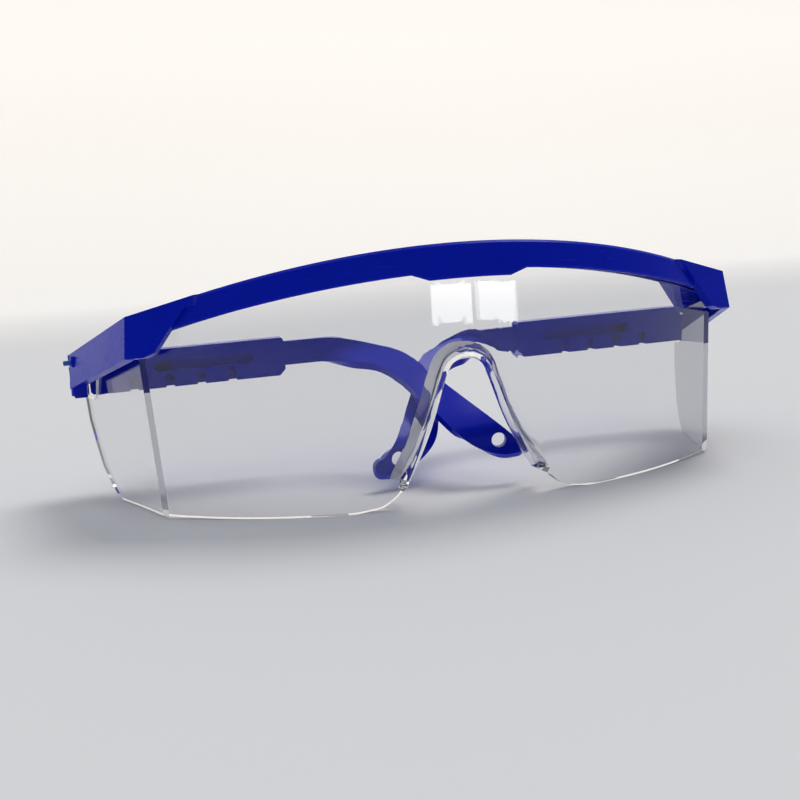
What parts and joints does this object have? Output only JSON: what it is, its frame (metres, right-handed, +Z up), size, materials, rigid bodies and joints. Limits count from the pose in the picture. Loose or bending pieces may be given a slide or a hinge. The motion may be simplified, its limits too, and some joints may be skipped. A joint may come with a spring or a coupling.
{
  "type": "safety glasses",
  "caption": "Wraparound safety glasses with a clear lens, side shields, a blue brow frame and folding, length-adjustable temple arms.",
  "frame": {"origin": "centre of the bounding box in plan, at the lowest point", "axes": "+Z up, -Y the way the wearer looks, +X the wearer's left"},
  "size_m": [0.16, 0.0596, 0.053],
  "materials": {
    "blue_plastic": "glossy ultramarine blue moulded plastic",
    "clear_lens": "clear colourless polycarbonate, polished",
    "pin_steel": "bright steel pin"
  },
  "bodies": {
    "frame": {"brow_frame": "blue_plastic", "lens": "clear_lens", "left_hinge_pin": "pin_steel", "right_hinge_pin": "pin_steel"},
    "left_sleeve": {"left_temple_sleeve": "blue_plastic"},
    "right_sleeve": {"right_temple_sleeve": "blue_plastic"},
    "left_arm": {"left_temple_arm": "blue_plastic"},
    "right_arm": {"right_temple_arm": "blue_plastic"}
  },
  "joints": [
    {"name": "left_fold", "type": "hinge", "parent": "frame", "child": "left_sleeve", "pos_m": [0.0779, 0.02554, 0.0282], "axis": [0, 0, 1], "range_deg": [-94, 0]},
    {"name": "right_fold", "type": "hinge", "parent": "frame", "child": "right_sleeve", "pos_m": [-0.0779, 0.02554, 0.0282], "axis": [0, 0, -1], "range_deg": [-85.54, 0]},
    {"name": "left_slide", "type": "slide", "parent": "left_sleeve", "child": "left_arm", "axis": [-0.9993, 0.0344, -0.0169], "range_m": [-0.0072, 0.0144]},
    {"name": "right_slide", "type": "slide", "parent": "right_sleeve", "child": "right_arm", "axis": [0.9989, -0.0431, 0.0169], "range_m": [-0.0072, 0.0144]}
  ],
  "couplings": [
    {"joint": "right_fold", "follows": "left_fold", "ratio": 0.91}
  ]
}
